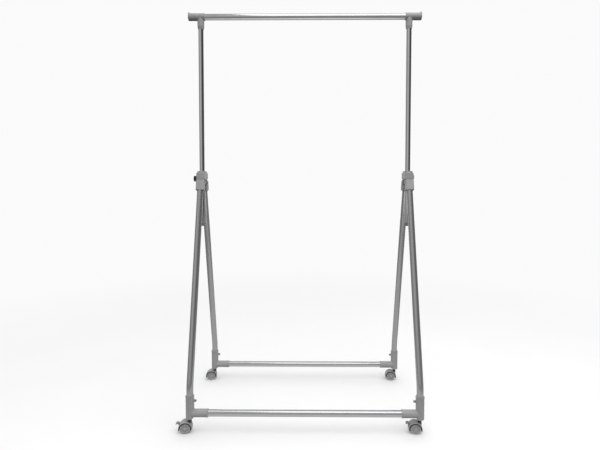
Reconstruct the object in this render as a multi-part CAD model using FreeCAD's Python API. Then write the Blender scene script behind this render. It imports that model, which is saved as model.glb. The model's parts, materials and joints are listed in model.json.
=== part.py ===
"""Rolling clothes rack on four twin-wheel casters.

A hanging bar on two thin poles slides up and down in two side hubs. From each hub a front and a rear
leg splay down to plastic feet, tied in pairs by a bottom rail. The two leg frames swing together about
pins in the hubs, so that the rack folds flat.

Millimetres, +Z up, +X to the right along the bar and +Y to the back. The origin is on the floor under
the middle of the rack. Each sub-part is written to parts/NODE.step.
"""
import FreeCAD
import Part
import math
import os

V = FreeCAD.Vector
X, Y, Z = V(1, 0, 0), V(0, 1, 0), V(0, 0, 1)

# ---- driving dimensions -------------------------------------------------------------------------
TUBE_R = 12.7            # bar, rails and legs: 1 inch tube
POLE_R = 10.65           # telescoping poles
WALL = 1.0               # tube wall
PRESS = 0.03             # radial gap of a plastic part pushed on a tube or a pin in its seat
RUN = 0.05               # radial gap of a running or sliding fit
POST_X = 430.0           # poles, hubs and legs stand in the planes x = +-POST_X
FOOT_Y = 222.0           # feet and rails stand at y = +-FOOT_Y
RAIL_Z = 71.0            # axis of the bottom rails
BAR_Z = 1621.0           # axis of the hanging bar

PIVOT_Y, PIVOT_Z = 27.6, 938.0      # fold pins, in each hub
LEG_SLOPE = 0.252                   # outward travel of a leg per unit of height
LEG_ANGLE = math.degrees(math.atan(LEG_SLOPE))
LEG_BEND_R = 120.0                  # bend just above the foot, where the leg turns upright
LEG_FOOT_Z = 64.0                   # lower end of the leg tube, inside the foot
LEG_TOP = 16.3                      # upper end of the leg tube, below the fold pin along the leg

BAR_HALF = 471.0                    # bar tube's half length
TEE_R, TEE_STEM_R = 15.0, 13.75     # sleeve on the bar, sleeve on the pole
TEE_IN, TEE_OUT = 16.0, 42.0        # sleeve's reach inboard and outboard of the pole
TEE_BOTTOM = 1570.0
SCREW_R, SCREW_HEAD_R = 1.6, 3.4
STEM_SCREW_Z = 1594.0
CAP_FACE = 480.0                    # outer face of the end caps
CAP_LIP = 19.0                      # lip's top above the bar's axis

POLE_TOP, POLE_BOTTOM = 1606.0, 759.0
POLE_FOOT_R, POLE_FOOT_BOTTOM, POLE_FOOT_TOP = 12.2, 756.0, 771.0

HUB_TOP, HUB_BOTTOM = 986.0, 932.0          # collar around the pole
COLLAR_R, LINER_R = 13.4, 11.9
YOKE_BOTTOM, YOKE_TOP = 952.0, 978.0        # block that joins the two lugs to the collar
YOKE_X, YOKE_Y = 16.8, 39.0                 # its half width and half depth
EAR_TOP, EAR_X, EAR_Y = 984.5, 14.0, 17.0   # ribs on its top: their height, inner face and half length
LUG_X, LUG_R, LUG_OUT = 9.8, 7.5, 4.0       # lug's half width, its end and its neck's outer face
PIN_R, PIN_HEAD_R = 3.0, 4.6
FORK_IN, FORK_OUT, FORK_R = 10.1, 17.0, 9.2  # leg head's cheeks
HEAD_LENGTH, HEAD_IN, HEAD_OUT = 35.0, 14.8, 15.3  # its reach below the pin, to the pole and outward
APRON_TOP = PIVOT_Z + 12.6                  # top of the leg head's outer wall, just under the yoke
NOTCH_X = 12.0                              # where that wall stops inboard on the rear heads
KNOB_Z, KNOB_R, STUD_R = 954.0, 12.0, 3.0
CAP_Z = 961.0                               # blanking cap on the right hub
BOSS_R, BOSS_X = 8.0, 19.0

FOOT_R, FOOT_TOP, FOOT_BOTTOM = 15.6, 137.0, 53.0
RAIL_SLEEVE_R, RAIL_SLEEVE_END = 14.85, 68.0  # sleeve on the rail, its end inboard of the leg
LEG_PIN_R, LEG_PIN_Z = 3.0, 118.0

WHEEL_R, TRAIL = 20.0, 17.0
WHEEL_IN, WHEEL_OUT, WHEEL_FACE = 7.6, 16.4, 17.5
AXLE_R = 2.5
HOOD_Z, HOOD_R, HOOD_INNER = 17.3, 25.5, 23.3  # hood's arc is centred a little below the axle
HOOD_EDGE_R, HOOD_Y = 24.2, 16.7
RIM_INNER, RIM_Y = 19.9, 18.0
WEB_Y = 6.8
STEM_R, STEM_COLLAR_R, STEM_TOP = 4.0, 6.5, 61.0
YAW = 6.0                                   # casters stand turned a little, left and right mirrored
BRAKE_PIVOT = V(-34.5, 0, 21.0)
TRUNNION_R = 1.6


# ---- helpers ------------------------------------------------------------------------------------
def rod(radius, start, end):
    """Solid cylinder from start to end."""
    return Part.makeCylinder(radius, (end - start).Length, start, end - start)


def cone(r_start, r_end, start, end):
    return Part.makeCone(r_start, r_end, (end - start).Length, start, end - start)


def tube(outer, inner, start, end):
    return rod(outer, start, end).cut(rod(inner, start, end))


def block(x0, x1, y0, y1, z0, z1):
    return Part.makeBox(x1 - x0, y1 - y0, z1 - z0, V(x0, y0, z0))


def rounded(shape, radius, pick):
    """Fillets the edges for which pick(edge) is true."""
    return shape.makeFillet(radius, [e for e in shape.Edges if pick(e)])


def along(edge, axis):
    """True for a straight edge parallel to axis."""
    if not isinstance(edge.Curve, Part.Line):
        return False
    return abs(abs(edge.Curve.Direction.dot(axis)) - 1) < 1e-6


def circle_at(edge, radius, axis, level):
    """True for a circular edge of that radius, square to axis, at that level along it."""
    if not isinstance(edge.Curve, Part.Circle):
        return False
    same = abs(edge.Curve.Radius - radius) < 1e-3
    return same and abs(edge.Curve.Center.dot(axis) - level) < 1e-3


def turned(points, origin, axis):
    """Solid of revolution about axis through origin, from a closed list of points."""
    face = Part.Face(Part.makePolygon(points + points[:1]))
    return face.revolve(origin, axis, 360)


def extruded(edges, direction):
    return Part.Face(Part.Wire(edges)).extrude(direction)


def polyline(points):
    ends = points[1:] + points[:1]
    return [Part.LineSegment(a, b).toShape() for a, b in zip(points, ends)]


def moved(shape, x=0.0, y=0.0, z=0.0):
    out = shape.copy()
    out.translate(V(x, y, z))
    return out


def spun(shape, angle, origin=V(0, 0, 0), axis=Z):
    out = shape.copy()
    out.rotate(origin, axis, angle)
    return out


def placed(shape, side, end):
    """Puts a part drawn on the rear left post in its corner: side is left or right, end front or rear.

    It is drawn at x = 0 with inboard along +X, and outward from the hub along +Y.
    """
    if side == "right":
        shape = shape.mirror(V(0, 0, 0), X)
    if end == "front":
        shape = shape.mirror(V(0, 0, 0), Y)
    return moved(shape, x=POST_X if side == "right" else -POST_X)


def save(node, *shapes):
    solids = [s for shape in shapes for s in shape.Solids]
    whole = solids[0] if len(solids) == 1 else Part.makeCompound(solids)
    for solid in solids:
        if not solid.isValid() or solid.Volume <= 0:
            raise ValueError("bad solid in " + node)
    whole.exportStep("parts/" + node + ".step")


# ---- hanging bar and poles ----------------------------------------------------------------------
def top_bar():
    bar = tube(TUBE_R, TUBE_R - WALL, V(-BAR_HALF, 0, BAR_Z), V(BAR_HALF, 0, BAR_Z))
    for x in (-POST_X, POST_X):
        bar = bar.cut(rod(SCREW_R + PRESS, V(x, 0, BAR_Z), V(x, TEE_R + 5, BAR_Z)))
    return bar


def tee():
    """Sleeve on the end of the bar with a stem for the pole. Drawn at x = 0, inboard along +X."""
    taper = 11.0
    sleeve = rod(TEE_R, V(-TEE_OUT, 0, BAR_Z), V(TEE_IN, 0, BAR_Z))
    sleeve = rounded(sleeve, 1.2, lambda e: circle_at(e, TEE_R, X, TEE_IN))
    stem = rod(TEE_STEM_R, V(0, 0, TEE_BOTTOM + taper), V(0, 0, BAR_Z))
    tip = cone(POLE_R + 1.0, TEE_STEM_R, V(0, 0, TEE_BOTTOM), V(0, 0, TEE_BOTTOM + taper))
    body = sleeve.fuse([stem, tip]).removeSplitter()
    body = body.cut(rod(TUBE_R + PRESS, V(-TEE_OUT, 0, BAR_Z), V(TEE_IN, 0, BAR_Z)))
    body = body.cut(rod(POLE_R + PRESS, V(0, 0, TEE_BOTTOM), V(0, 0, POLE_TOP)))
    for z in (BAR_Z, STEM_SCREW_Z):
        body = body.cut(rod(SCREW_R + PRESS, V(0, 0, z), V(0, TEE_R + 5, z)))
    return body


def screw(x, seat_y, z, length):
    """Pan-head screw driven from the back, its head on seat_y."""
    shank = rod(SCREW_R, V(x, seat_y - length, z), V(x, seat_y, z))
    head = rod(SCREW_HEAD_R, V(x, seat_y, z), V(x, seat_y + 2.2, z))
    head = rounded(head, 1.2, lambda e: circle_at(e, SCREW_HEAD_R, Y, seat_y + 2.2))
    slot = 0.45
    for a, b in ((2.2, slot), (slot, 2.2)):
        head = head.cut(block(x - a, x + a, seat_y + 1.0, seat_y + 2.5, z - b, z + b))
    return shank.fuse(head)


def tee_screws():
    solids = []
    for x in (-POST_X, POST_X):
        solids.append(screw(x, TEE_R, BAR_Z, 6.5))
        solids.append(screw(x, TEE_STEM_R, STEM_SCREW_Z, 5.5))
    return solids


def end_cap():
    """Plug in the bar's left end, with a flange that stands up as a hanger stop."""
    neck, face = -(POST_X + TEE_OUT), -CAP_FACE
    flange = turned(
        [V(face, 0, BAR_Z), V(face, 0, BAR_Z + CAP_LIP - 2), V(face + 1.2, 0, BAR_Z + CAP_LIP),
         V(face + 3.6, 0, BAR_Z + CAP_LIP), V(face + 4.6, 0, BAR_Z + CAP_LIP - 1.5),
         V(face + 5.6, 0, BAR_Z + TEE_R + 0.6), V(neck, 0, BAR_Z + TEE_R), V(neck, 0, BAR_Z)],
        V(0, 0, BAR_Z), X)
    outline = rod(TEE_R, V(face, 0, BAR_Z), V(neck, 0, BAR_Z))
    lip = rod(CAP_LIP - 5, V(face, 0, BAR_Z + 5), V(neck, 0, BAR_Z + 5))
    flange = flange.common(outline.fuse(lip))
    plug = rod(TUBE_R - WALL - PRESS, V(neck, 0, BAR_Z), V(neck + 16, 0, BAR_Z))
    skirt = rod(TUBE_R + PRESS, V(neck, 0, BAR_Z), V(-BAR_HALF, 0, BAR_Z))
    return flange.fuse([plug, skirt]).removeSplitter()


def pole():
    """Pole at x = 0."""
    body = tube(POLE_R, POLE_R - WALL, V(0, 0, POLE_BOTTOM), V(0, 0, POLE_TOP))
    return body.cut(rod(SCREW_R + PRESS, V(0, 0, STEM_SCREW_Z), V(0, TEE_R + 5, STEM_SCREW_Z)))


def pole_foot():
    """Cup on the pole's lower end, which stops it in the hub."""
    body = rod(POLE_FOOT_R, V(0, 0, POLE_FOOT_BOTTOM), V(0, 0, POLE_FOOT_TOP))
    body = rounded(body, 1.0, lambda e: isinstance(e.Curve, Part.Circle))
    return body.cut(rod(POLE_R + PRESS, V(0, 0, POLE_BOTTOM), V(0, 0, POLE_FOOT_TOP)))


# ---- hubs ---------------------------------------------------------------------------------------
def hub(boss_z):
    """Side hub at x = 0, outboard along -X: collar on the pole, yoke, two lugs and a clamp boss."""
    collar = rod(COLLAR_R, V(0, 0, HUB_BOTTOM), V(0, 0, HUB_TOP))
    collar = rounded(collar, 1.0, lambda e: circle_at(e, COLLAR_R, Z, HUB_TOP))
    yoke = block(-YOKE_X, YOKE_X, -YOKE_Y, YOKE_Y, YOKE_BOTTOM, YOKE_TOP)
    yoke = rounded(yoke, 8.0, lambda e: along(e, Z))
    yoke = rounded(yoke, 2.5, lambda e: e.BoundBox.ZMin > YOKE_TOP - 0.1)
    parts = [yoke]
    for x0, x1 in ((-YOKE_X, -EAR_X), (EAR_X, YOKE_X)):
        ear = block(x0, x1, -EAR_Y, EAR_Y, YOKE_TOP - 5, EAR_TOP)
        parts.append(rounded(ear, 0.8, lambda e: e.BoundBox.ZMax > EAR_TOP - 0.1))
    for side in (-1, 1):
        y = side * PIVOT_Y
        inner, outer = sorted((y - side * LUG_R, y + side * LUG_OUT))
        parts.append(rod(LUG_R, V(-LUG_X, y, PIVOT_Z), V(LUG_X, y, PIVOT_Z)))
        parts.append(block(-LUG_X, LUG_X, inner, outer, PIVOT_Z, YOKE_BOTTOM + 1))
    parts.append(rod(BOSS_R, V(-BOSS_X, 0, boss_z), V(0, 0, boss_z)))
    body = collar.fuse(parts).removeSplitter()
    body = body.cut(rod(LINER_R, V(0, 0, HUB_BOTTOM), V(0, 0, HUB_TOP)))
    for y in (-PIVOT_Y, PIVOT_Y):
        body = body.cut(rod(PIN_R, V(-LUG_X, y, PIVOT_Z), V(LUG_X, y, PIVOT_Z)))
    return body.cut(rod(STUD_R + RUN, V(-BOSS_X, 0, boss_z), V(0, 0, boss_z)))


def liner(boss_z):
    """Sleeve in the hub that the pole slides in, with a hole for the clamp stud."""
    body = tube(LINER_R, POLE_R + RUN, V(0, 0, HUB_BOTTOM), V(0, 0, HUB_TOP))
    return body.cut(rod(STUD_R + RUN, V(-BOSS_X, 0, boss_z), V(0, 0, boss_z)))


def pivot_pin(x, y):
    """Rivet through a lug and the two cheeks of a leg head, headed at both ends."""
    seat, head = FORK_OUT + 0.15, FORK_OUT + 1.9
    pin = rod(PIN_R, V(x - seat, y, PIVOT_Z), V(x + seat, y, PIVOT_Z))
    for sign in (-1, 1):
        start, end = V(x + sign * seat, y, PIVOT_Z), V(x + sign * head, y, PIVOT_Z)
        pin = pin.fuse(cone(PIN_HEAD_R, PIN_HEAD_R - 1.6, start, end))
    return pin


def pivot_pins():
    return [pivot_pin(x, y) for x in (-POST_X, POST_X) for y in (-PIVOT_Y, PIVOT_Y)]


def knob_grip():
    """Scalloped knob on the left hub's outboard side, drawn at x = 0."""
    inner, outer = -(BOSS_X + 2.0), -(BOSS_X + 15.0)
    body = rod(KNOB_R, V(outer, 0, KNOB_Z), V(inner, 0, KNOB_Z))
    body = rounded(body, 2.0, lambda e: circle_at(e, KNOB_R, X, outer))
    for i in range(8):
        a = math.radians(45 * i + 22.5)
        y, z = 14.4 * math.cos(a), KNOB_Z + 14.4 * math.sin(a)
        body = body.cut(rod(3.6, V(outer, y, z), V(inner, y, z)))
    body = body.fuse(rod(6.5, V(inner, 0, KNOB_Z), V(-(BOSS_X + 0.4), 0, KNOB_Z)))
    return body.cut(rod(STUD_R, V(outer + 4, 0, KNOB_Z), V(0, 0, KNOB_Z)))


def knob_stud():
    """Clamp screw from the knob to just short of the pole."""
    return rod(STUD_R, V(-(BOSS_X + 11), 0, KNOB_Z), V(-(POLE_R + 0.3), 0, KNOB_Z))


def boss_cap():
    """Domed blanking cap on the right hub's boss, drawn with outboard along -X."""
    radius, outer = 11.5, -(BOSS_X + 7.5)
    body = rod(radius, V(outer, 0, CAP_Z), V(-BOSS_X, 0, CAP_Z))
    body = rounded(body, 5.0, lambda e: circle_at(e, radius, X, outer))
    return body.fuse(rod(STUD_R, V(-BOSS_X, 0, CAP_Z), V(-(POLE_R + 3), 0, CAP_Z)))


# ---- leg frames ---------------------------------------------------------------------------------
def leg_path(bottom_z, top_gap):
    """Centre line of a leg: upright in the foot, a bend, then straight to top_gap below the pin."""
    slope = math.radians(LEG_ANGLE)
    corner = V(0, FOOT_Y, PIVOT_Z - (FOOT_Y - PIVOT_Y) / LEG_SLOPE)
    up = V(0, -math.sin(slope), math.cos(slope))
    reach = LEG_BEND_R * math.tan(slope / 2)
    low, high = corner - Z * reach, corner + up * reach
    centre = V(0, FOOT_Y - LEG_BEND_R, low.z)
    middle = centre + V(0, math.cos(slope / 2), math.sin(slope / 2)) * LEG_BEND_R
    top = V(0, PIVOT_Y, PIVOT_Z) - up * top_gap
    return Part.Wire([
        Part.LineSegment(V(0, FOOT_Y, bottom_z), low).toShape(),
        Part.Arc(low, middle, high).toShape(),
        Part.LineSegment(high, top).toShape(),
    ])


def swept(radius, path, start):
    """Solid tube of that radius along path, which starts at start and runs up."""
    ring = Part.Wire([Part.makeCircle(radius, start, Z)])
    return path.makePipeShell([ring], True, True)


def leg():
    path = leg_path(LEG_FOOT_Z, LEG_TOP)
    start = V(0, FOOT_Y, LEG_FOOT_Z)
    body = swept(TUBE_R, path, start).cut(swept(TUBE_R - WALL, path, start))
    return body.cut(rod(LEG_PIN_R + PRESS, V(0, FOOT_Y, LEG_PIN_Z), V(20, FOOT_Y, LEG_PIN_Z)))


def leg_head(wall_end):
    """Fork on the leg's upper end, whose outer wall rises past the fold pin and stops under the yoke.

    The wall ends inboard at wall_end, and leaves a notch there if that is short of the cheek's face.
    It is drawn upright under the pin, with outward along +Y, then leaned to the leg's slope.
    """
    web_top, web_bottom = -11.0, -16.0
    wall_top, wall_in = 20.0, 9.0
    column = block(-FORK_OUT, FORK_OUT, -HEAD_IN, HEAD_OUT, -HEAD_LENGTH, wall_top)
    column = rounded(column, 6.0, lambda e: along(e, Z))
    column = rounded(column, 2.0, lambda e: e.BoundBox.ZMax < -HEAD_LENGTH + 0.1)
    socket = block(-FORK_OUT, FORK_OUT, -HEAD_IN, HEAD_OUT, -HEAD_LENGTH, web_top)
    wall = block(-FORK_OUT, wall_end, wall_in, HEAD_OUT, web_top, wall_top)
    cheeks = []
    for x in (-FORK_OUT, FORK_IN):
        wide = FORK_OUT - FORK_IN
        cheeks.append(rod(FORK_R, V(x, 0, 0), V(x + wide, 0, 0)))
        cheeks.append(block(x, x + wide, -FORK_R, FORK_R, web_top - 3, 0))
    crown = block(-FORK_OUT, FORK_OUT, -FORK_R, FORK_R, -30, FORK_R)
    crown = rounded(crown, 5.0, lambda e: along(e, Y) and e.BoundBox.ZMin > 0)
    fork = cheeks[0].fuse(cheeks[1:]).common(crown)
    body = column.common(socket.fuse(wall)).fuse(fork)
    body = body.cut(rod(TUBE_R + PRESS, V(0, 0, -HEAD_LENGTH), V(0, 0, web_bottom)))
    body = body.fuse(tube(TUBE_R - WALL - PRESS, 8.5, V(0, 0, -50), V(0, 0, web_bottom)))
    body = body.cut(rod(PIN_R + RUN, V(-FORK_OUT, 0, 0), V(FORK_OUT, 0, 0)))
    leaned = moved(spun(body, LEG_ANGLE, axis=X), y=PIVOT_Y, z=PIVOT_Z)
    return leaned.cut(block(-30, 30, 0, 80, APRON_TOP, APRON_TOP + 30)).removeSplitter()


def rail():
    """Bottom rail at the rear, from foot to foot."""
    half = POST_X - TUBE_R - 5.5
    return tube(TUBE_R, TUBE_R - WALL, V(-half, FOOT_Y, RAIL_Z), V(half, FOOT_Y, RAIL_Z))


def foot():
    """Moulded corner on the rear left: socket for the leg, sleeve for the rail, seat for the caster."""
    post = rod(FOOT_R, V(0, 0, FOOT_BOTTOM), V(0, 0, FOOT_TOP))
    lip = rod(FOOT_R + 0.7, V(0, 0, FOOT_TOP - 5), V(0, 0, FOOT_TOP))
    arm = rod(RAIL_SLEEVE_R, V(0, 0, RAIL_Z), V(RAIL_SLEEVE_END, 0, RAIL_Z))
    end = rod(RAIL_SLEEVE_R + 0.5, V(RAIL_SLEEVE_END - 5, 0, RAIL_Z), V(RAIL_SLEEVE_END, 0, RAIL_Z))
    pad = rod(6.5, V(0, 0, LEG_PIN_Z), V(FOOT_R + 0.8, 0, LEG_PIN_Z))
    corner = post.fuse(arm)
    corner = rounded(corner, 2.5, lambda e: not isinstance(e.Curve, (Part.Line, Part.Circle)))
    body = corner.fuse([lip, end, pad]).removeSplitter()
    wedge = extruded(polyline([V(8, -20, FOOT_BOTTOM - 1), V(FOOT_R + 1, -20, FOOT_BOTTOM - 1),
                               V(FOOT_R + 1, -20, FOOT_BOTTOM + 4)]), V(0, 40, 0))
    body = body.cut(wedge)
    rail_stop = TUBE_R + 4.5
    body = body.cut(rod(TUBE_R + PRESS, V(rail_stop, 0, RAIL_Z), V(RAIL_SLEEVE_END, 0, RAIL_Z)))
    body = body.cut(rod(TUBE_R + PRESS, V(0, 0, LEG_FOOT_Z), V(0, 0, FOOT_TOP)))
    body = body.cut(rod(LEG_PIN_R + PRESS, V(0, 0, LEG_PIN_Z), V(20, 0, LEG_PIN_Z)))
    body = body.cut(rod(STEM_R + 1 + PRESS, V(0, 0, FOOT_BOTTOM), V(0, 0, STEM_TOP + 1)))
    return moved(body, y=FOOT_Y)


def leg_pin():
    """Push pin through the foot into the leg, with a round head on the rail's side."""
    seat, tip = FOOT_R + 0.8, FOOT_R + 9.0
    shank = rod(LEG_PIN_R, V(TUBE_R - 4, 0, LEG_PIN_Z), V(seat, 0, LEG_PIN_Z))
    head = rod(4.4, V(seat, 0, LEG_PIN_Z), V(tip, 0, LEG_PIN_Z))
    head = rounded(head, 1.6, lambda e: circle_at(e, 4.4, X, tip))
    head = head.cut(tube(6, 3.4, V(seat + 1.5, 0, LEG_PIN_Z), V(seat + 3.5, 0, LEG_PIN_Z)))
    return moved(shank.fuse(head), y=FOOT_Y)


def caster_stem():
    """Steel stem in the foot, with a collar under it. The caster turns on its lower end."""
    stem = rod(STEM_R, V(0, 0, 19.5), V(0, 0, FOOT_BOTTOM))
    collar = rod(STEM_COLLAR_R, V(0, 0, 36.8), V(0, 0, FOOT_BOTTOM))
    shank = rod(STEM_R + 1, V(0, 0, FOOT_BOTTOM), V(0, 0, STEM_TOP))
    return moved(stem.fuse([collar, shank]), y=FOOT_Y)


# ---- casters ------------------------------------------------------------------------------------
def arch(outer, inner, y0, y1):
    """Part of a ring about the hood's centre, open below it."""
    centre = V(-TRAIL, y0, HOOD_Z)
    ring = tube(outer, inner, centre, V(-TRAIL, y1, HOOD_Z))
    return ring.common(block(-TRAIL - 40, -TRAIL + 40, y0, y1, HOOD_Z - 3.5, HOOD_Z + 40))


def hood(with_brake):
    """Hood over both wheels with the web that holds the axle and the column that holds the stem."""
    centre, edge = V(-TRAIL, 0, HOOD_Z), HOOD_EDGE_R
    crown = turned(
        [V(-TRAIL, -HOOD_Y, HOOD_Z), V(-TRAIL, -HOOD_Y, HOOD_Z + edge),
         V(-TRAIL, -13.5, HOOD_Z + HOOD_R - 0.35), V(-TRAIL, -9, HOOD_Z + HOOD_R),
         V(-TRAIL, 9, HOOD_Z + HOOD_R), V(-TRAIL, 13.5, HOOD_Z + HOOD_R - 0.35),
         V(-TRAIL, HOOD_Y, HOOD_Z + edge), V(-TRAIL, HOOD_Y, HOOD_Z)], centre, Y)
    shell = crown.cut(rod(HOOD_INNER, V(-TRAIL, -HOOD_Y, HOOD_Z), V(-TRAIL, HOOD_Y, HOOD_Z)))
    web = rod(HOOD_INNER + 0.5, V(-TRAIL, -WEB_Y, HOOD_Z), V(-TRAIL, WEB_Y, HOOD_Z))
    above = block(-60, 30, -25, 25, HOOD_Z - 3.5, 60)
    body = shell.fuse(web).common(above)
    hanger = rod(6.0, V(-TRAIL, -WEB_Y, WHEEL_R), V(-TRAIL, WEB_Y, WHEEL_R))
    column = rod(WEB_Y, V(0, 0, HOOD_Z - 3.5), V(0, 0, 36.3))
    body = body.fuse([hanger, column]).removeSplitter()
    body = body.cut(rod(8.0, V(0, 0, 36.3), V(0, 0, 60)))
    body = body.cut(rod(STEM_R + RUN, V(0, 0, 18.5), V(0, 0, 60)))
    body = body.cut(rod(AXLE_R + PRESS, V(-TRAIL, -20, WHEEL_R), V(-TRAIL, 20, WHEEL_R)))
    if with_brake:
        body = body.cut(block(-45, -27.5, -4.2, 4.2, 5, 33.2))
        pin_end = WEB_Y - 0.2
        body = body.cut(rod(TRUNNION_R + RUN, BRAKE_PIVOT - Y * pin_end, BRAKE_PIVOT + Y * pin_end))
    return body


def hood_rims():
    """Dark trim along both lower edges of the hood, over the wheels' faces."""
    return [arch(HOOD_EDGE_R - 0.3, RIM_INNER, a, b)
            for a, b in ((-RIM_Y, -HOOD_Y), (HOOD_Y, RIM_Y))]


def axle():
    end = WHEEL_OUT - 1.2
    return rod(AXLE_R, V(-TRAIL, -end, WHEEL_R), V(-TRAIL, end, WHEEL_R))


def wheel(sign):
    """Wheel on the +Y side for sign 1 and the -Y side for -1, with five pockets in its face."""
    def at(y, r):
        return V(-TRAIL, sign * y, WHEEL_R + r)

    cap_r, dish_r, boss_r = 16.6, 13.4, 5.8
    dish, rib_top, rib_half, rib_count = WHEEL_FACE - 3.4, WHEEL_FACE - 0.3, 1.1, 5
    profile = [
        at(WHEEL_IN, 0), at(WHEEL_IN, 17.5), at(WHEEL_IN + 0.9, 19.4), at(WHEEL_IN + 2.2, WHEEL_R),
        at(WHEEL_OUT - 1.6, WHEEL_R), at(WHEEL_OUT - 0.5, 19.5), at(WHEEL_OUT, 18.3),
        at(WHEEL_OUT, cap_r + 0.4), at(WHEEL_FACE - 0.4, cap_r), at(WHEEL_FACE, cap_r - 0.8),
        at(WHEEL_FACE, dish_r + 0.6), at(dish, dish_r), at(dish, boss_r + 0.6),
        at(WHEEL_FACE, boss_r), at(WHEEL_FACE, 0),
    ]
    body = turned(profile, V(-TRAIL, 0, WHEEL_R), Y)
    y0, y1 = sorted((sign * (dish - 0.5), sign * rib_top))
    rib = block(-TRAIL - rib_half, -TRAIL + rib_half, y0, y1, WHEEL_R + boss_r - 0.5, WHEEL_R + dish_r + 0.8)
    ribs = [spun(rib, 360 / rib_count * i, V(-TRAIL, 0, WHEEL_R), Y) for i in range(rib_count)]
    bore = rod(AXLE_R + RUN, V(-TRAIL, sign * (WHEEL_IN - 1), WHEEL_R),
               V(-TRAIL, sign * (WHEEL_OUT - 0.8), WHEEL_R))
    return body.fuse(ribs).cut(bore)


def brake_lever():
    """Pedal that hooks up and outward between the wheels, on an arm with trunnions in the web."""
    arm_y, pedal_y, arm_half = 3.9, 5.4, 2.2
    neck = V(-41.2, 0, 33.0)
    root = rod(3.6, BRAKE_PIVOT - Y * arm_y, BRAKE_PIVOT + Y * arm_y)
    along_arm = (neck - BRAKE_PIVOT).normalize()
    side = V(-along_arm.z, 0, along_arm.x) * arm_half
    arm = [p - Y * arm_y for p in
           (BRAKE_PIVOT + side, neck + side, neck - side, BRAKE_PIVOT - side)]
    arm = extruded(polyline(arm), Y * (2 * arm_y))
    start, crest, tip = V(-38.8, -pedal_y, 34.2), V(-43.8, -pedal_y, 38.6), V(-52.2, -pedal_y, 32.0)
    lip, hollow, heel = V(-50.2, -pedal_y, 29.4), V(-45.8, -pedal_y, 33.4), V(-42.6, -pedal_y, 29.8)
    pedal = extruded([Part.Arc(start, crest, tip).toShape(), Part.LineSegment(tip, lip).toShape(),
                      Part.Arc(lip, hollow, heel).toShape(), Part.LineSegment(heel, start).toShape()],
                     Y * (2 * pedal_y))
    pedal = rounded(pedal, 1.0, lambda e: along(e, Y))
    trunnion_y = WEB_Y - 0.4
    trunnion = rod(TRUNNION_R, BRAKE_PIVOT - Y * trunnion_y, BRAKE_PIVOT + Y * trunnion_y)
    return root.fuse([arm, pedal, trunnion]).removeSplitter()


def caster_placed(shape, side, end):
    """Turns a caster part, drawn about the Z axis and trailing along -X, and puts it under its foot."""
    shape = spun(shape, YAW if side == "left" else -YAW)
    return moved(shape, POST_X if side == "right" else -POST_X,
                 FOOT_Y if end == "rear" else -FOOT_Y)


# ---- the whole rack -----------------------------------------------------------------------------
def write_top():
    save("top_bar", top_bar())
    save("tee_screws", *tee_screws())
    cap = end_cap()
    for side in ("left", "right"):
        save(side + "_tee", placed(tee(), side, "rear"))
        save(side + "_pole", placed(pole(), side, "rear"))
        save(side + "_pole_foot", placed(pole_foot(), side, "rear"))
        save(side + "_end_cap", cap if side == "left" else cap.mirror(V(0, 0, 0), X))


def write_hubs():
    save("pivot_pins", *pivot_pins())
    for side, boss_z in (("left", KNOB_Z), ("right", CAP_Z)):
        save(side + "_hub", placed(hub(boss_z), side, "rear"))
        save(side + "_hub_liner", placed(liner(boss_z), side, "rear"))
    save("right_boss_cap", placed(boss_cap(), "right", "rear"))
    save("knob_grip", placed(knob_grip(), "left", "rear"))
    save("knob_stud", placed(knob_stud(), "left", "rear"))


def write_frame(end):
    rear_rail = rail()
    save(end + "_rail", rear_rail if end == "rear" else rear_rail.mirror(V(0, 0, 0), Y))
    for side in ("left", "right"):
        corner = end + "_" + side
        save(corner + "_leg", placed(leg(), side, end))
        save(corner + "_leg_head", placed(leg_head(FORK_OUT if end == "front" else NOTCH_X), side, end))
        save(corner + "_foot", placed(foot(), side, end))
    save(end + "_leg_pins", *[placed(leg_pin(), side, end) for side in ("left", "right")])
    save(end + "_caster_stems", *[placed(caster_stem(), side, end) for side in ("left", "right")])


def write_caster(side, end):
    corner = end + "_" + side
    braked = end == "front"
    save(corner + "_caster_hood", caster_placed(hood(braked), side, end))
    save(corner + "_hood_rims", *[caster_placed(rim, side, end) for rim in hood_rims()])
    save(corner + "_axle", caster_placed(axle(), side, end))
    outward = -1 if end == "front" else 1
    save(corner + "_outer_wheel", caster_placed(wheel(outward), side, end))
    save(corner + "_inner_wheel", caster_placed(wheel(-outward), side, end))
    if braked:
        save(corner + "_brake_lever", caster_placed(brake_lever(), side, end))


def main():
    os.makedirs("parts", exist_ok=True)
    write_top()
    write_hubs()
    for end in ("front", "rear"):
        write_frame(end)
        for side in ("left", "right"):
            write_caster(side, end)


main()
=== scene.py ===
"""Looks of the rolling clothes rack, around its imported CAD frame.

The CAD sub-parts keep their shapes and get procedural finishes: chromed and satin tubes, moulded grey
plastic, black trim and plated steel. The rest is a pale floor, a soft studio and the camera.
"""

import json

import bpy
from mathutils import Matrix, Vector

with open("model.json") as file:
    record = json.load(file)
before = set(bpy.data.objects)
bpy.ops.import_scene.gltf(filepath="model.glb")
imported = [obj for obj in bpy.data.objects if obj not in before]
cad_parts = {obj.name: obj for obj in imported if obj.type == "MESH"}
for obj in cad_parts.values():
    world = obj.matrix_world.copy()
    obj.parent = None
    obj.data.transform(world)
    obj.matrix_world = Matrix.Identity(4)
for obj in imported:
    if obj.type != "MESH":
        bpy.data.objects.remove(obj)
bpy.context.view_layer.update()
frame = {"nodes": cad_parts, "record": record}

MM = 0.001
NOISE_LOW, NOISE_HIGH = 0.3, 0.7    # the usual range of a noise texture


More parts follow.
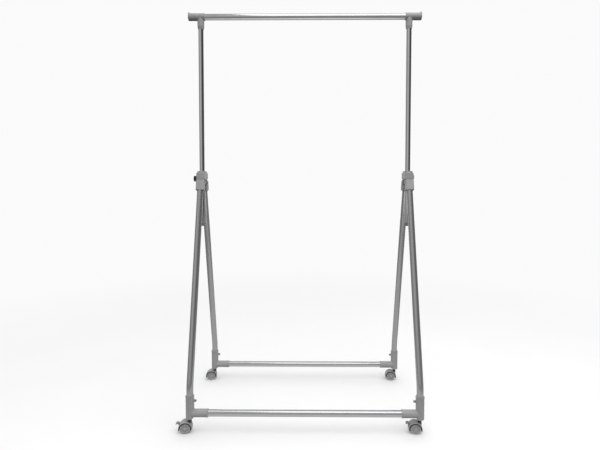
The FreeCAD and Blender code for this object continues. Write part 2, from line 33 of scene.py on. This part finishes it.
# ---- shader nodes -------------------------------------------------------------------------------
class Shader:
    """A new material with its node tree, its Principled shader and the object's own coordinates."""

    def __init__(self, name, colour, metallic, roughness):
        self.material = bpy.data.materials.new(name)
        self.material.use_nodes = True
        tree = self.material.node_tree
        self.nodes, self.links = tree.nodes, tree.links
        self.principled = self.nodes["Principled BSDF"]
        self.coords = self.nodes.new("ShaderNodeTexCoord").outputs["Object"]
        self.set("Base Color", (*colour, 1))
        self.set("Metallic", metallic)
        self.set("Roughness", roughness)
        self.colour = colour

    def set(self, socket, value):
        self.principled.inputs[socket].default_value = value

    def link(self, output, socket):
        self.links.new(output, self.principled.inputs[socket])

    def noise(self, size, stretch=(1, 1, 1), detail=3.0):
        """Noise from 0 to 1 with blobs of that size in metres, drawn out by stretch."""
        place = self.nodes.new("ShaderNodeMapping")
        place.inputs["Scale"].default_value = [1 / s for s in stretch]
        self.links.new(self.coords, place.inputs["Vector"])
        texture = self.nodes.new("ShaderNodeTexNoise")
        texture.inputs["Scale"].default_value = 1 / size
        texture.inputs["Detail"].default_value = detail
        self.links.new(place.outputs["Vector"], texture.inputs["Vector"])
        return texture.outputs["Fac"]

    def map_range(self, value, start, end, low, high):
        """Node that maps value from start and end onto low and high."""
        node = self.nodes.new("ShaderNodeMapRange")
        for name, number in zip(("From Min", "From Max", "To Min", "To Max"), (start, end, low, high)):
            node.inputs[name].default_value = number
        self.links.new(value, node.inputs["Value"])
        return node

    def vary(self, noise, base, low, high):
        """Number that the noise moves between those shares of base."""
        return self.map_range(noise, NOISE_LOW, NOISE_HIGH, base * low, base * high).outputs["Result"]

    def tint(self, noise, amount):
        """Makes the base colour darker and lighter by that share, where the noise is low and high."""
        ramp = self.nodes.new("ShaderNodeValToRGB")
        ends = ((NOISE_LOW, 1 - amount), (NOISE_HIGH, 1 + amount))
        for element, (position, share) in zip(ramp.color_ramp.elements, ends):
            element.position = position
            element.color = (*[c * share for c in self.colour], 1)
        self.links.new(noise, ramp.inputs["Fac"])
        self.link(ramp.outputs["Color"], "Base Color")

    def bump(self, noise, height, strength):
        node = self.nodes.new("ShaderNodeBump")
        node.inputs["Strength"].default_value = strength
        node.inputs["Distance"].default_value = height
        self.links.new(noise, node.inputs["Height"])
        self.link(node.outputs["Normal"], "Normal")


# ---- finishes -----------------------------------------------------------------------------------
def tube_metal(name, colour, roughness, lengthwise):
    """Polished tube, with faint drawing lines along it and a light haze of fingerprints and dust."""
    shader = Shader(name, colour, 1.0, roughness)
    lines = shader.noise(0.6 * MM, stretch=lengthwise, detail=2)
    haze = shader.noise(45 * MM)
    shader.tint(haze, amount=0.035)
    mix = shader.nodes.new("ShaderNodeMath")
    mix.operation = "MULTIPLY"
    shader.links.new(shader.vary(haze, roughness, low=0.8, high=1.25), mix.inputs[0])
    shader.links.new(shader.vary(lines, 1.0, low=0.85, high=1.15), mix.inputs[1])
    shader.link(mix.outputs["Value"], "Roughness")
    return shader.material


def satin_paint(name, colour, roughness):
    """Silver stove enamel on the legs: metallic flake under a satin surface with orange peel."""
    shader = Shader(name, colour, 0.8, roughness)
    shader.tint(shader.noise(0.5 * MM, detail=4), amount=0.05)
    shader.link(shader.vary(shader.noise(30 * MM), roughness, low=0.88, high=1.12), "Roughness")
    shader.bump(shader.noise(1.6 * MM, detail=2), height=0.006 * MM, strength=0.4)
    return shader.material


def moulded_plastic(name, colour, roughness):
    """Injection moulded plastic with a fine spark-eroded grain and slight flow marks."""
    shader = Shader(name, colour, 0.0, roughness)
    shader.tint(shader.noise(18 * MM, detail=5), amount=0.06)
    grain = shader.noise(0.35 * MM)
    shader.link(shader.vary(grain, roughness, low=0.85, high=1.15), "Roughness")
    shader.bump(grain, height=0.02 * MM, strength=0.7)
    return shader.material


def plated_steel(name, colour, roughness):
    """Zinc-plated small steel parts with a mottled, brushed surface."""
    shader = Shader(name, colour, 1.0, roughness)
    mottle = shader.noise(1.2 * MM, detail=5)
    shader.tint(mottle, amount=0.12)
    shader.link(shader.vary(mottle, roughness, low=0.75, high=1.3), "Roughness")
    shader.bump(mottle, height=0.01 * MM, strength=0.5)
    return shader.material


ALONG_X, ALONG_Z = (400, 1, 1), (1, 1, 400)    # how far the drawing lines are drawn out

# Each finish: its name, its colour and its roughness.
FINISHES = {
    "bar_metal": tube_metal("polished bar", (0.66, 0.66, 0.67), 0.16, ALONG_X),
    "rail_metal": tube_metal("polished rail", (0.62, 0.62, 0.63), 0.20, ALONG_X),
    "pole_chrome": tube_metal("chromed pole", (0.67, 0.67, 0.68), 0.13, ALONG_Z),
    "leg_metal": satin_paint("silver enamel", (0.46, 0.46, 0.465), 0.20),
    "top_plastic": moulded_plastic("grey moulding, tees", (0.33, 0.33, 0.332), 0.42),
    "hub_plastic": moulded_plastic("grey moulding, hubs", (0.345, 0.345, 0.347), 0.45),
    "foot_plastic": moulded_plastic("grey moulding, feet", (0.32, 0.32, 0.322), 0.45),
    "pin_plastic": moulded_plastic("grey moulding, push pins", (0.21, 0.21, 0.212), 0.40),
    "liner_plastic": moulded_plastic("dark grey moulding", (0.20, 0.20, 0.202), 0.50),
    "hood_plastic": moulded_plastic("grey moulding, casters", (0.31, 0.31, 0.312), 0.42),
    "wheel_plastic": moulded_plastic("grey moulding, wheels", (0.36, 0.36, 0.362), 0.50),
    "pedal_plastic": moulded_plastic("grey moulding, pedals", (0.25, 0.25, 0.252), 0.42),
    "black_plastic": moulded_plastic("black moulding", (0.022, 0.022, 0.023), 0.38),
    "steel": plated_steel("plated steel", (0.45, 0.45, 0.46), 0.30),
    # The caster stems get a near-black colour as painted shade: it stands for the shadow in the gap
    # under each foot.
    "dark_steel": plated_steel("blackened steel", (0.11, 0.11, 0.112), 0.40),
}


def finish_cad_nodes():
    """Gives each CAD node the finish of its material slot in the record."""
    for part in frame["record"]["subparts"]:
        node = frame["nodes"][part["node"]]
        node.data.materials.clear()
        node.data.materials.append(FINISHES[part["material_slot"]])


finish_cad_nodes()


# ---- floor, light and camera --------------------------------------------------------------------
FLOOR_HALF = 12.0
FLOOR_ENDS = (1.0, 3.2)             # from the rack's middle, where the floor turns into the backdrop
POOL_ENDS = (0.6, 1.3)              # and where the painted reflection of a lit patch of floor turns dim
POOL_BRIGHT, POOL_DIM = 0.66, 0.28
GAP = 2 * MM                        # keeps the glowing plane of painted reflection and the low lights off the floor itself
BACKDROP = 0.96                     # the white that the camera sees
BACKDROP_REFLECTED = 0.9

# The studio's brightness by direction, as pairs of a coordinate from -1 to 1 and a brightness.
SOFT_BY_HEIGHT = ((-0.4, 0.05), (0.1, 0.85), (0.7, 1.1))
ROOM_BY_SIDE = ((-0.98, 0.30), (-0.6, 0.62), (0.1, 0.42), (0.75, 0.03), (1.0, 0.10))
BACKDROP_BY_DEPTH = ((0.6, 0.0), (0.9, 1.0))

UP, DOWN = Vector((0, 0, 1)), Vector((0, 0, -1))
EYE, TARGET = Vector((-0.005, -1.750, 0.903)), Vector((-0.0195, 0.0, 0.835))
LENS, SENSOR = 25.0, 36.0           # mm
SHIFT = -0.03                       # of the picture's width


def ground(name, height, material):
    """Large square on the stage, that only the camera and reflections may see."""
    mesh = bpy.data.meshes.new(name)
    corners = ((-1, -1), (1, -1), (1, 1), (-1, 1))
    mesh.from_pydata([(x * FLOOR_HALF, y * FLOOR_HALF, height) for x, y in corners], [], [(0, 1, 2, 3)])
    mesh.materials.append(material)
    obj = bpy.data.objects.new(name, mesh)
    obj.visible_diffuse = False
    bpy.context.scene.collection.objects.link(obj)
    return obj


def fade(shader, near, far, at_near, at_far):
    """Number that goes from at_near to at_far, between those distances from the middle of the floor."""
    distance = shader.nodes.new("ShaderNodeVectorMath")
    distance.operation = "LENGTH"
    shader.links.new(shader.coords, distance.inputs[0])
    node = shader.map_range(distance.outputs["Value"], near, far, at_near, at_far)
    node.interpolation_type = "SMOOTHSTEP"
    return node.outputs["Result"]


def floor():
    """Pale floor that takes shadows near the rack and runs out into the backdrop's white.

    Its bounce is left out, as the world's lower half stands for it.
    """
    shader = Shader("pale floor", (0.84, 0.84, 0.84), 0.0, 0.9)
    shader.tint(shader.noise(0.4), amount=0.008)
    white = shader.nodes.new("ShaderNodeEmission")
    white.inputs["Color"].default_value = (BACKDROP, BACKDROP, BACKDROP, 1)
    mix = shader.nodes.new("ShaderNodeMixShader")
    shader.links.new(fade(shader, *FLOOR_ENDS, 0.0, 1.0), mix.inputs["Fac"])
    shader.links.new(shader.principled.outputs["BSDF"], mix.inputs[1])
    shader.links.new(white.outputs["Emission"], mix.inputs[2])
    shader.links.new(mix.outputs["Shader"], shader.nodes["Material Output"].inputs["Surface"])
    ground("floor", 0.0, shader.material).visible_glossy = False


def painted_reflection_pool():
    """Glowing plane seen only in reflections, a painted reflection of the floor: bright around the rack
    and dim further out.
    """
    shader = Shader("painted reflection pool", (0, 0, 0), 0.0, 1.0)
    shader.set("Specular IOR Level", 0.0)
    shader.set("Emission Color", (1, 1, 1, 1))
    # Painted reflection: the glow is set by distance from the middle, to stand for a lit patch of
    # floor; this plane is no lamp.
    shader.link(fade(shader, *POOL_ENDS, POOL_BRIGHT, POOL_DIM), "Emission Strength")
    pool = ground("painted_reflection_pool", -GAP, shader.material)
    pool.visible_camera = False
    pool.visible_shadow = False


def softbox(name, centre, facing, width, depth, watts, nodes=(), rule="INCLUDE"):
    """Area light that faces UP or DOWN. It lights only those nodes, or with EXCLUDE all but them."""
    light = bpy.data.lights.new(name, "AREA")
    light.shape = "RECTANGLE"
    light.size, light.size_y = width, depth
    light.energy = watts
    obj = bpy.data.objects.new(name, light)
    obj.location = centre
    obj.rotation_euler = facing.to_track_quat("-Z", "Y").to_euler()
    obj.visible_camera = False
    bpy.context.scene.collection.objects.link(obj)
    if nodes:
        receivers = bpy.data.collections.new(name + " receivers")
        for node in nodes:
            receivers.objects.link(frame["nodes"][node])
        for entry in receivers.collection_objects:
            entry.light_linking.link_state = rule
        obj.light_linking.receiver_collection = receivers
    return obj


class World:
    """The studio around the rack: its brightness by direction, apart for soft light and reflections."""

    def __init__(self):
        world = bpy.data.worlds.new("studio")
        bpy.context.scene.world = world
        world.use_nodes = True
        world.cycles.sampling_method = "NONE"
        self.nodes, self.links = world.node_tree.nodes, world.node_tree.links
        direction = self.nodes.new("ShaderNodeTexCoord").outputs["Generated"]
        split = self.nodes.new("ShaderNodeSeparateXYZ")
        self.links.new(direction, split.inputs["Vector"])
        self.side, self.depth, self.height = (split.outputs[axis] for axis in "XYZ")
        self.path = self.nodes.new("ShaderNodeLightPath").outputs

    def ramp(self, value, stops):
        """Smooth curve through the stops, each a pair of value and brightness."""
        place = self.nodes.new("ShaderNodeMapRange")
        place.inputs["From Min"].default_value, place.inputs["From Max"].default_value = -1, 1
        self.links.new(value, place.inputs["Value"])
        curve = self.nodes.new("ShaderNodeValToRGB")
        curve.color_ramp.interpolation = "EASE"
        elements = curve.color_ramp.elements
        while len(elements) < len(stops):
            elements.new(1.0)
        for element, (at, level) in zip(elements, stops):
            element.position = (at + 1) / 2
            element.color = (level, level, level, 1)
        self.links.new(place.outputs["Result"], curve.inputs["Fac"])
        return curve.outputs["Color"]

    def mix(self, factor, low, high):
        node = self.nodes.new("ShaderNodeMix")
        node.data_type = "RGBA"
        self.links.new(factor, node.inputs["Factor"])
        for value, socket in ((low, node.inputs["A"]), (high, node.inputs["B"])):
            if isinstance(value, tuple):
                socket.default_value = value
            else:
                self.links.new(value, socket)
        return node.outputs["Result"]


def studio_world():
    """Soft light from above; reflections of a room that is dark to the right, and a white backdrop."""
    world = World()
    soft = world.ramp(world.height, SOFT_BY_HEIGHT)
    room = world.ramp(world.side, ROOM_BY_SIDE)
    backdrop = world.ramp(world.depth, BACKDROP_BY_DEPTH)
    shine = world.mix(backdrop, room, (BACKDROP_REFLECTED, BACKDROP_REFLECTED, BACKDROP_REFLECTED, 1))
    light = world.mix(world.path["Is Glossy Ray"], soft, shine)
    light = world.mix(world.path["Is Camera Ray"], light, (BACKDROP, BACKDROP, BACKDROP, 1))
    background = world.nodes["Background"]
    world.links.new(light, background.inputs["Color"])
    background.inputs["Strength"].default_value = 1.0


def camera():
    """Low view from the front, at the height of the hubs, that looks nearly level across the rack."""
    data = bpy.data.cameras.new("camera")
    data.lens = LENS
    data.sensor_width = SENSOR
    data.shift_y = SHIFT
    obj = bpy.data.objects.new("camera", data)
    obj.location = EYE
    obj.rotation_euler = (TARGET - EYE).to_track_quat("-Z", "Y").to_euler()
    bpy.context.scene.collection.objects.link(obj)
    bpy.context.scene.camera = obj


floor()
painted_reflection_pool()
studio_world()
softbox("top", (0.65, -1.15, 2.5), DOWN, width=2.12, depth=2.5, watts=22,
        nodes=("left_pole", "right_pole"), rule="EXCLUDE")
softbox("rail strip", (-0.72, -0.35, 2.5), DOWN, width=0.60, depth=0.9, watts=2.4,
        nodes=("front_rail", "rear_rail"))
softbox("rear leg glow", (0.0, -1.75, GAP), UP, width=3.2, depth=1.3, watts=8,
        nodes=("rear_left_leg", "rear_right_leg"))
softbox("bar glow", (0.0, 0.25, GAP), UP, width=1.6, depth=1.2, watts=1.8, nodes=("top_bar",))
bounce = softbox("floor bounce", (0.0, 0.0, GAP), UP, width=1.3, depth=0.8, watts=0.9)
bounce.visible_glossy = False
camera()
bpy.context.scene.view_settings.view_transform = "Standard"
